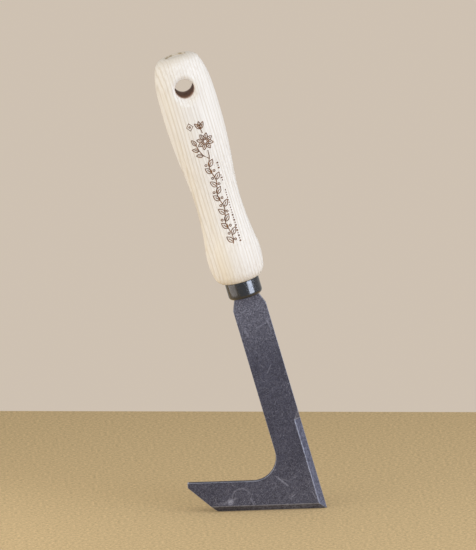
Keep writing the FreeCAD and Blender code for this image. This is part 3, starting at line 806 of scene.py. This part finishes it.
class Paint:
    """A material under construction. Each method adds nodes and returns what they put out."""

    def __init__(self, name):
        """Starts a material whose looks all come from one shader."""
        self.material = bpy.data.materials.new(name)
        self.material.use_nodes = True
        self.tree = self.material.node_tree
        self.tree.nodes.clear()
        self.shader = self.add("ShaderNodeBsdfPrincipled")
        self.add("ShaderNodeOutputMaterial", {"Surface": self.shader.outputs["BSDF"]})

    def add(self, kind, inputs=None, **settings):
        """A new node with those settings, and with its inputs linked or set by name."""
        node = self.tree.nodes.new(kind)
        for setting, value in settings.items():
            setattr(node, setting, value)
        for name, value in (inputs or {}).items():
            self.feed(node.inputs[name], value)
        return node

    def feed(self, socket, value):
        """Links another node's output to a socket, or sets the socket to a plain value."""
        if isinstance(value, bpy.types.NodeSocket):
            self.tree.links.new(value, socket)
        else:
            socket.default_value = value

    def set(self, **values):
        """Sets or links the shader's own sockets, named with underscores for spaces."""
        for name, value in values.items():
            self.feed(self.shader.inputs[name.replace("_", " ")], value)

    def place(self):
        """Where a point is, in tool millimetres."""
        here = self.add("ShaderNodeTexCoord").outputs["Object"]
        inputs = dict(Vector=here, Location=TOOL_ORIGIN, Rotation=(0.0, -LEAN, 0.0), Scale=(MM, MM, MM))
        return self.add("ShaderNodeMapping", inputs, vector_type="TEXTURE").outputs["Vector"]

    def moved(self, place, shift=(0.0, 0.0, 0.0), scale=(1.0, 1.0, 1.0)):
        """A place stretched and shifted."""
        inputs = dict(Vector=place, Location=shift, Scale=scale)
        return self.add("ShaderNodeMapping", inputs, vector_type="POINT").outputs["Vector"]

    def split(self, place):
        """The three parts of a place."""
        return tuple(self.add("ShaderNodeSeparateXYZ", {"Vector": place}).outputs)

    def joined(self, x, y, z):
        """A place from its parts."""
        return self.add("ShaderNodeCombineXYZ", {"X": x, "Y": y, "Z": z}).outputs["Vector"]

    def attribute(self, name):
        """A number that the mesh carries."""
        return self.add("ShaderNodeAttribute", attribute_name=name).outputs["Fac"]

    def noise(self, place, scale=1.0, detail=2.0, roughness=0.5, distortion=0.0):
        """Cloudy noise, about 0.5 on average."""
        inputs = dict(Vector=place, Scale=scale, Detail=detail, Roughness=roughness, Distortion=distortion)
        return self.add("ShaderNodeTexNoise", inputs).outputs["Fac"]

    def grain(self, place, stretch, shift=(0.0, 0.0, 0.0), **looks):
        """Noise at a stretched and shifted place."""
        return self.noise(self.moved(place, shift, stretch), **looks)

    def random_for(self, value):
        """A random number that stays the same for the same value."""
        return self.add("ShaderNodeTexWhiteNoise", {"W": value}, noise_dimensions="1D").outputs["Value"]

    def do(self, operation, *values):
        """The result of a calculation, by Blender's name for it."""
        node = self.add("ShaderNodeMath", operation=operation)
        for n, socket in enumerate(node.inputs):
            self.feed(socket, values[n] if n < len(values) else 0.0)
        return node.outputs["Value"]

    def times(self, first, second):
        """The product of two values."""
        return self.do("MULTIPLY", first, second)

    def less(self, first, second):
        """The first value less the second."""
        return self.do("SUBTRACT", first, second)

    def most(self, first, second):
        """The larger of two values."""
        return self.do("MAXIMUM", first, second)

    def size(self, value):
        """A value without its sign."""
        return self.do("ABSOLUTE", value)

    def length(self, x, y):
        """The length of a flat vector."""
        return self.do("SQRT", self.do("MULTIPLY_ADD", x, x, self.times(y, y)))

    def ramp(self, value, low, high, start=0.0, end=1.0):
        """start below low, end above high, and a smooth change between."""
        inputs = {"Value": value, "From Min": low, "From Max": high, "To Min": start, "To Max": end}
        return self.add("ShaderNodeMapRange", inputs, interpolation_type="SMOOTHSTEP").outputs["Result"]

    def layers(self, colour, *coats):
        """A colour with others laid over it in turn, each as (share, colour)."""
        colour = (*colour, 1.0)
        for share, coat in coats:
            node = self.add("ShaderNodeMix", data_type="RGBA")
            factor, _, _, _, _, _, below, above = list(node.inputs)[:8]
            for socket, value in ((factor, share), (below, colour), (above, (*coat, 1.0))):
                self.feed(socket, value)
            colour = node.outputs[2]
        return colour

    def bump(self, height, distance, strength):
        """The surface's direction where height makes it uneven."""
        inputs = dict(Strength=strength, Distance=distance, Height=height)
        return self.add("ShaderNodeBump", inputs).outputs["Normal"]


RING_SPACING = 1.9
PITH = (-150.0, -22.0)
TOP_STATION = SHOULDER_STATION + HANDLE_LENGTH


def ash_wood():
    """Pale sanded ash: growth rings round a distant pith, porous early wood, fine fibres and pore streaks,
    with painted warm light on its left side and painted shade in its end's recess and in the hanging hole.
    """
    paint = Paint("ash_wood")
    place = paint.place()
    x, y, station = paint.split(place)
    wander = paint.grain(place, (0.04, 0.04, 0.005))
    waver = paint.grain(place, (0.35, 0.35, 0.02), (7.0, 3.0, 1.0))
    radius = paint.length(paint.less(x, PITH[0]), paint.less(y, PITH[1]))
    radius = paint.do("MULTIPLY_ADD", wander, 4.0, radius)
    radius = paint.do("MULTIPLY_ADD", waver, 1.5, radius)
    ring = paint.do("DIVIDE", radius, RING_SPACING)
    phase = paint.do("FRACT", ring)
    number = paint.random_for(paint.do("FLOOR", ring))
    early = paint.times(paint.ramp(phase, 0.0, 0.1), paint.ramp(phase, 0.16, 0.5, 1.0, 0.0))
    early = paint.times(early, paint.ramp(number, 0.0, 1.0, 0.35, 1.0))
    pores = paint.grain(place, (2.6, 2.6, 0.07), detail=3.0, roughness=0.65)
    pores = paint.ramp(pores, 0.53, 0.7)
    pores = paint.times(pores, paint.ramp(early, 0.0, 0.8, 0.3, 1.0))
    fibres = paint.grain(place, (1.5, 1.5, 0.035), (2.0, 9.0, 4.0), detail=5.0, roughness=0.75)
    clouds = paint.grain(place, (0.08, 0.08, 0.02), (1.0, 5.0, 8.0))
    # Painted warm light: the handle's left and lower side gets a warm tint, patchy with the wood's own
    # clouds.
    painted_warm_light = paint.ramp(paint.do("MULTIPLY_ADD", station, 0.12, x), 8.0, 28.0, 0.5, 0.0)
    colour = paint.layers(
        (0.91, 0.885, 0.845),
        (early, (0.74, 0.68, 0.59)),
        (paint.ramp(fibres, 0.38, 0.68, 0.0, 0.7), (0.72, 0.665, 0.595)),
        (paint.times(pores, 0.5), (0.56, 0.49, 0.40)),
        # painted warm light on the left and lower side
        (paint.times(painted_warm_light, paint.ramp(clouds, 0.3, 0.65)), (0.85, 0.75, 0.57)),
        (end_grain(paint, place), (0.72, 0.655, 0.565)),
        # painted shade in the recess of the handle's end
        (recess_shade(paint, place), (0.38, 0.295, 0.18)),
        # painted shade inside the hanging hole, deepest in its middle
        (bore_shade(paint, place), (0.43, 0.215, 0.11)),
    )
    relief = paint.do("MULTIPLY_ADD", fibres, 0.35, paint.times(pores, -1.0))
    paint.set(
        Base_Color=colour,
        Roughness=paint.ramp(fibres, 0.2, 0.8, 0.5, 0.66),
        Specular_IOR_Level=0.25,
        Normal=paint.bump(relief, 0.00006, 0.6),
    )
    return paint.material


def bore_shade(paint, place):
    """How much painted shade a point gets: the hanging hole's wall is painted brown, most in the middle of
    the hole.
    """
    x, y, station = paint.split(place)
    rise = paint.less(station, SHOULDER_STATION + HOLE_HEIGHT)
    inside = paint.ramp(paint.length(x, rise), HOLE_RADIUS + 0.02, HOLE_RADIUS + 0.25, 1.0, 0.0)
    deep = paint.ramp(paint.size(y), HOLE_HALF_LENGTH - 6.0, HOLE_HALF_LENGTH - 0.2, 1.0, 0.35)
    patchy = paint.grain(place, (0.5, 1.2, 0.5), detail=3.0)
    return paint.times(paint.times(inside, deep), paint.ramp(patchy, 0.25, 0.7, 0.75, 1.0))


def end_grain(paint, place):
    """How much a point is cut across the grain: on the end face and its rounded edge."""
    _, _, station = paint.split(place)
    patchy = paint.noise(place, scale=0.6, detail=3.0)
    near_end = paint.ramp(station, TOP_STATION - 5.0, TOP_STATION - 0.4)
    return paint.times(near_end, paint.ramp(patchy, 0.2, 0.7, 0.35, 0.75))


def recess_shade(paint, place):
    """How much painted shade a point gets: the edge and the corner of the recess in the handle's end are
    painted darker, patchily.
    """
    x, y, station = paint.split(place)
    off_rim = paint.size(paint.less(paint.length(x, y), RECESS_RADIUS))
    patchy = paint.noise(place, scale=0.35, detail=3.0)
    # painted shade round the recess's edge and corner
    rim_shade = paint.times(paint.ramp(off_rim, 0.3, 1.3, 1.0, 0.0), paint.ramp(patchy, 0.38, 0.6, 0.25, 0.9))
    return paint.times(rim_shade, paint.ramp(station, TOP_STATION - 1.6, TOP_STATION - 0.9))


def burnt_wood():
    """Wood scorched brown, unevenly."""
    paint = Paint("burnt_wood")
    place = paint.place()
    patchy = paint.noise(place, scale=0.7, detail=3.0)
    fine = paint.grain(place, (4.0, 4.0, 0.8))
    colour = paint.layers(
        (0.085, 0.034, 0.015),
        (paint.ramp(patchy, 0.3, 0.7), (0.25, 0.12, 0.052)),
        (paint.ramp(fine, 0.5, 0.8, 0.0, 0.5), (0.40, 0.25, 0.14)),
    )
    uneven = paint.bump(fine, 0.00005, 0.5)
    paint.set(Base_Color=colour, Roughness=0.75, Specular_IOR_Level=0.15, Normal=uneven)
    return paint.material


def black_lacquer():
    """Gloss black lacquer with a slight orange peel and specks of dust."""
    paint = Paint("black_lacquer")
    place = paint.place()
    peel = paint.noise(place, scale=0.85)
    fine = paint.noise(place, scale=3.2)
    dust = paint.ramp(paint.noise(place, scale=4.5, detail=1.0), 0.7, 0.8)
    colour = paint.layers((0.010, 0.013, 0.020), (dust, (0.08, 0.08, 0.085)))
    bumps = paint.do("MULTIPLY_ADD", fine, 0.4, peel)
    paint.set(
        Base_Color=colour,
        Roughness=paint.ramp(fine, 0.3, 0.75, 0.16, 0.26),
        Specular_IOR_Level=0.5,
        Coat_Weight=1.0,
        Coat_Roughness=0.06,
        Normal=paint.bump(bumps, 0.00035, 0.6),
    )
    return paint.material


def nicks(paint, place, size, shift, reach, width, share):
    """Short curved scratches, one at random in each cell of about that size, in every direction."""
    x, y, z = paint.split(place)
    flat = paint.joined(paint.do("MULTIPLY_ADD", y, 0.7, x), paint.do("MULTIPLY_ADD", y, 0.3, z), 0.0)
    flat = paint.moved(flat, shift=shift)
    cells = paint.add("ShaderNodeTexVoronoi", {"Vector": flat, "Scale": 1 / size}, voronoi_dimensions="2D")
    x, y, _ = paint.split(flat)
    centre_x, centre_y, _ = paint.split(cells.outputs["Position"])
    turn, luck, bend = paint.split(cells.outputs["Color"])
    x = paint.less(x, centre_x)
    y = paint.less(y, centre_y)
    angle = paint.times(turn, math.pi)
    cosine, sine = paint.do("COSINE", angle), paint.do("SINE", angle)
    along = paint.do("MULTIPLY_ADD", x, cosine, paint.times(y, sine))
    across = paint.less(paint.times(y, cosine), paint.times(x, sine))
    bow = paint.times(paint.times(along, along), paint.ramp(bend, 0.0, 1.0, -0.25, 0.25))
    across = paint.do("ADD", across, paint.do("DIVIDE", bow, size))
    line = paint.ramp(paint.size(across), width * 0.4, width, 1.0, 0.0)
    line = paint.times(line, paint.ramp(paint.size(along), reach * 0.6, reach, 1.0, 0.0))
    return paint.times(line, paint.ramp(luck, 1 - share, 1.05 - share))


def rub_ring(paint, place, centre, radius, width):
    """A round rub mark about a centre given as (x, station)."""
    x, _, station = paint.split(place)
    reach = paint.length(paint.less(x, centre[0]), paint.less(station, centre[1]))
    return paint.ramp(paint.size(paint.less(reach, radius)), width * 0.3, width, 1.0, 0.0)


def rub_line(paint, place, start, end, width):
    """A straight rub mark between two points given as (x, station), soft at its sides and ends."""
    x, _, station = paint.split(place)
    along = Vector(end) - Vector(start)
    length = along.length
    along.normalize()
    x = paint.less(x, start[0])
    station = paint.less(station, start[1])
    far = paint.do("MULTIPLY_ADD", x, along.x, paint.times(station, along.y))
    aside = paint.less(paint.times(station, along.x), paint.times(x, along.y))
    off_middle = paint.size(paint.less(far, length / 2))
    mark = paint.ramp(paint.size(aside), width * 0.3, width, 1.0, 0.0)
    return paint.times(mark, paint.ramp(off_middle, length * 0.35, length * 0.55, 1.0, 0.0))


def scuffs(paint, place):
    """The larger rub marks on the blade's front: an arch and a patch on the foot, and short streaks."""
    _, y, station = paint.split(place)
    arch = rub_ring(paint, place, on_blade(50.5, 8.4), 5.4, 0.75)
    arch = paint.times(arch, paint.ramp(station, 20.5, 22.5, 0.0, 0.38))
    patch = rub_ring(paint, place, on_blade(57.0, 6.0), 0.0, 2.6)
    marks = paint.most(arch, patch)
    streaks = [
        (on_blade(45.2, 8.4), on_blade(43.0, 2.6), 0.6, 0.4),
        (on_blade(62.0, 4.6), on_blade(53.0, 8.4), 1.0, 0.4),
        (on_blade(30.0, 20.6), on_blade(22.4, 14.2), 0.8, 0.6),
        (on_blade(27.0, 19.0), on_blade(21.5, 17.0), 0.6, 0.3),
        (on_blade(22.0, 6.5), on_blade(18.5, 9.8), 0.5, 0.4),
        (on_blade(9.0, 11.0), on_blade(6.4, 6.0), 0.5, 0.45),
        ((-1.0, 116.0), (7.6, 117.6), 0.6, 0.35),
        ((7.2, 121.0), (8.6, 112.0), 0.6, 0.4),
        ((-6.8, 118.0), (-5.6, 112.0), 0.9, 0.35),
        ((-1.5, 88.0), (2.5, 93.0), 0.5, 0.35),
    ]
    for start, end, width, strength in streaks:
        streak = paint.times(rub_line(paint, place, start, end, width), strength)
        marks = paint.most(marks, streak)
    patchy = paint.noise(paint.moved(place, (4.0, 2.0, 6.0)), scale=1.3, detail=4.0, roughness=0.7)
    marks = paint.times(marks, paint.ramp(y, -HALF_THICKNESS + 0.2, 0.0, 1.0, 0.0))
    return paint.times(marks, paint.ramp(patchy, 0.36, 0.6, 0.25, 1.0))


def bevel_borders(paint, place):
    """The worn borders between the blade's flat front and its two ground bevels."""
    x, y, station = paint.split(place)
    above = paint.times(station, math.cos(LEAN))
    above = paint.do("MULTIPLY_ADD", x, math.sin(LEAN), above)
    off_sole = paint.size(paint.less(above, SOLE_BEVEL_HEIGHT + HALF_WIDTH * math.sin(LEAN)))
    off_side = paint.size(paint.less(x, HALF_WIDTH - SIDE_BEVEL_WIDTH))
    beside = paint.ramp(station, SIDE_BEVEL_STATION - 0.5, SIDE_BEVEL_STATION + 0.5, 1.0, 0.0)
    side = paint.times(paint.ramp(off_side, 0.15, 0.5, 0.8, 0.0), beside)
    sole = paint.ramp(off_sole, 0.15, 0.45, 1.0, 0.0)
    patchy = paint.noise(paint.moved(place, (9.0, 2.0, 3.0)), scale=0.5, detail=4.0, roughness=0.7)
    front = paint.ramp(y, -HALF_THICKNESS + 0.3, -HALF_THICKNESS + 0.6, 1.0, 0.0)
    border = paint.most(side, paint.times(sole, 0.7))
    return paint.times(paint.times(border, front), paint.ramp(patchy, 0.38, 0.6, 0.15, 0.9))


def dark_steel():
    """Blackened steel: cloudy oxide, tumbled and finely scratched, brighter where it's ground or worn, with a
    painted reflection that makes it paler towards the neck and a little towards the foot.
    """
    paint = Paint("dark_steel")
    place = paint.place()
    ground = paint.attribute("ground")
    worn = paint.attribute("worn")
    x, _, station = paint.split(place)
    clouds = paint.grain(place, (0.06, 0.06, 0.045), detail=4.0, roughness=0.65)
    mottle = paint.noise(place, scale=0.55, detail=5.0, roughness=0.75, distortion=0.3)
    fine = paint.noise(paint.moved(place, (3.0, 1.0, 8.0)), scale=1.5, detail=4.0, roughness=0.75)
    # Painted reflection: paler towards the neck and a little towards the foot; the grit shows more where it
    # is.
    painted_reflection = paint.most(paint.ramp(station, 90.0, 130.0, 0.0, 0.75), paint.ramp(station, 8.0, 45.0, 0.25, 0.0))
    grit = paint.noise(paint.moved(place, (6.0, 4.0, 1.0)), scale=1.7, detail=3.0, roughness=0.8)
    grit = paint.times(paint.ramp(grit, 0.5, 0.63), paint.do("ADD", painted_reflection, 0.25))
    marks = nicks(paint, place, 2.4, (11.0, 5.0, 0.0), 1.4, 0.13, 0.3)
    marks = paint.most(marks, nicks(paint, place, 6.0, (3.0, 17.0, 0.0), 3.6, 0.12, 0.3))
    marks = paint.most(marks, nicks(paint, place, 7.0, (8.0, 4.0, 0.0), 0.45, 0.45, 0.5))
    rubbed = paint.grain(place, (0.16, 0.16, 0.12), (5.0, 7.0, 2.0), detail=3.0)
    marks = paint.times(marks, paint.ramp(rubbed, 0.35, 0.62, 0.12, 0.45))
    marks = paint.most(marks, scuffs(paint, place))
    bright = paint.times(ground, paint.ramp(mottle, 0.42, 0.6, 0.15, 1.0))
    bright = paint.times(bright, paint.ramp(x, -42.0, -22.0, 0.15, 1.0))
    edge = paint.times(worn, paint.ramp(fine, 0.3, 0.6, 0.3, 0.95))
    edge = paint.most(edge, bevel_borders(paint, place))
    colour = paint.layers(
        (0.057, 0.059, 0.091),
        (paint.ramp(clouds, 0.3, 0.7), (0.094, 0.097, 0.142)),
        # painted reflection towards the neck and the foot
        (painted_reflection, (0.165, 0.168, 0.22)),
        (paint.ramp(mottle, 0.45, 0.66, 0.0, 0.5), (0.17, 0.173, 0.23)),
        (paint.ramp(fine, 0.38, 0.58, 0.65, 0.0), (0.026, 0.026, 0.038)),
        (grit, (0.31, 0.318, 0.40)),
        (marks, (0.40, 0.415, 0.52)),
        (bright, (0.235, 0.25, 0.34)),
        (edge, (0.44, 0.46, 0.55)),
    )
    relief = paint.do("MULTIPLY_ADD", marks, -0.8, mottle)
    paint.set(
        Base_Color=colour,
        Metallic=0.7,
        Roughness=paint.ramp(mottle, 0.3, 0.7, 0.62, 0.5),
        Normal=paint.bump(relief, 0.00005, 0.5),
    )
    return paint.material


# Stage, lights and camera.


def paper(name, colour):
    """Plain matt paper with fine flecks."""
    paint = Paint(name)
    place = paint.add("ShaderNodeTexCoord").outputs["Object"]
    tooth = paint.noise(place, scale=520.0, detail=3.0, roughness=0.8)
    lighter, darker = [[channel * share for channel in colour] for share in (FLECK_LIGHTER, FLECK_DARKER)]
    flecked = paint.layers(lighter, (paint.ramp(tooth, 0.3, 0.7), darker))
    paint.set(Base_Color=flecked, Roughness=0.95, Specular_IOR_Level=0.05)
    return paint.material


def direction(azimuth, elevation):
    """The way from the tool to that azimuth and elevation. Azimuth 0 is in front, 90 is to the right."""
    a, e = math.radians(azimuth), math.radians(elevation)
    return Vector((math.sin(a) * math.cos(e), -math.cos(a) * math.cos(e), math.sin(e)))


CAMERA_AZIMUTH, CAMERA_ELEVATION, CAMERA_ROLL = -2.8, 10.3, -1.35
CAMERA_DISTANCE = 5.0
VIEW_HEIGHT = 0.3224  # how much of the tool's plane the picture's height takes in, in metres
AIM = Vector((-0.0017, 0.0, 0.1413))
TABLE_LINE_TURN = -7.6  # the far edge of the table, against the camera's own right
TABLE_BACK, TABLE_FRONT, TABLE_SIDE = 0.298, -0.3, 1.2


def build_camera():
    """A long lens that looks at the tool from the photo's side."""
    back = direction(CAMERA_AZIMUTH, CAMERA_ELEVATION)
    right = Vector((math.cos(math.radians(CAMERA_AZIMUTH)), math.sin(math.radians(CAMERA_AZIMUTH)), 0.0))
    up = back.cross(right)
    roll = math.radians(CAMERA_ROLL)
    rolled_right = right * math.cos(roll) + up * math.sin(roll)
    rolled_up = up * math.cos(roll) - right * math.sin(roll)
    data = bpy.data.cameras.new("camera")
    data.lens = data.sensor_width * CAMERA_DISTANCE / VIEW_HEIGHT
    camera = linked("camera", data)
    facing = Matrix((rolled_right, rolled_up, back)).transposed().to_4x4()
    camera.matrix_world = Matrix.Translation(AIM + back * CAMERA_DISTANCE) @ facing
    bpy.context.scene.camera = camera


def add_softbox(name, azimuth, elevation, width, height, radiance, colour, turn=0.0, distance=0.9):
    """A rectangular light that faces the tool, with its size in degrees as the tool sees it."""
    data = bpy.data.lights.new(name, "AREA")
    data.shape = "RECTANGLE"
    data.size = 2 * distance * math.tan(math.radians(width / 2))
    data.size_y = 2 * distance * math.tan(math.radians(height / 2))
    data.energy = radiance * math.pi * data.size * data.size_y
    data.color = colour
    light = linked(name, data)
    back = direction(azimuth, elevation)
    facing = back.to_track_quat("Z", "Y").to_matrix() @ Matrix.Rotation(math.radians(turn), 3, "Z")
    light.matrix_world = Matrix.Translation(AIM + back * distance) @ facing.to_4x4()
    light.visible_camera = False


TABLE_COLOUR = (0.59, 0.44, 0.239)
FLECK_LIGHTER, FLECK_DARKER = 1.23, 0.77
WALL_COLOUR = (0.62, 0.535, 0.445)
AMBIENT_COLOUR = (1.0, 0.975, 0.935)
AMBIENT = 0.39


def build_world():
    """The plain wall behind the table, and the soft light of the room."""
    world = bpy.data.worlds.new("room")
    world.use_nodes = True
    tree = world.node_tree
    tree.nodes.clear()
    kinds = ("OutputWorld", "Background", "Background", "MixShader", "LightPath")
    output, wall, room, choice, rays = [tree.nodes.new("ShaderNode" + kind) for kind in kinds]
    wall.inputs["Color"].default_value = (*WALL_COLOUR, 1.0)
    room.inputs["Color"].default_value = (*AMBIENT_COLOUR, 1.0)
    room.inputs["Strength"].default_value = AMBIENT
    tree.links.new(rays.outputs["Is Camera Ray"], choice.inputs["Fac"])
    tree.links.new(room.outputs["Background"], choice.inputs[1])
    tree.links.new(wall.outputs["Background"], choice.inputs[2])
    tree.links.new(choice.outputs["Shader"], output.inputs["Surface"])
    bpy.context.scene.world = world


def build_table():
    """A plain pale table top, whose far edge is the line between floor and wall."""
    turn = math.radians(CAMERA_AZIMUTH + TABLE_LINE_TURN)
    along = Vector((math.cos(turn), math.sin(turn), 0.0))
    away = Vector((-math.sin(turn), math.cos(turn), 0.0))
    corners = []
    for side, depth in ((-1, TABLE_FRONT), (1, TABLE_FRONT), (1, TABLE_BACK), (-1, TABLE_BACK)):
        corners.append(along * (TABLE_SIDE * side) + away * depth)
    mesh = mesh_from("table_top", [(*corner.xy, 0.0) for corner in corners], [(0, 1, 2, 3)])
    mesh.materials.append(paper("table_paper", TABLE_COLOUR))
    linked("table_top", mesh)


def build_lights():
    """The lights that the photo's reflections and shading call for."""
    add_softbox("key_softbox", 46.0, 1.5, 33.0, 12.0, 11.3, (0.745, 0.825, 1.0), 8.0)
    add_softbox("right_fill", 70.0, 32.0, 56.0, 38.0, 1.45, (0.96, 0.975, 1.0))
    add_softbox("top_softbox", -6.0, 66.0, 50.0, 50.0, 0.95, (1.0, 0.98, 0.95))
    add_softbox("left_fill", -68.0, 12.0, 66.0, 36.0, 2.2, (1.0, 0.965, 0.91))
    add_softbox("low_card", -83.0, -23.0, 56.0, 13.0, 1.45, (0.99, 0.97, 1.0), distance=0.22)


bpy.context.scene.view_settings.view_transform = "Standard"
build_camera()
build_world()
build_table()
build_lights()
build_blade(dark_steel())
build_ferrule(black_lacquer())
build_handle(ash_wood())
build_ornament(burnt_wood())
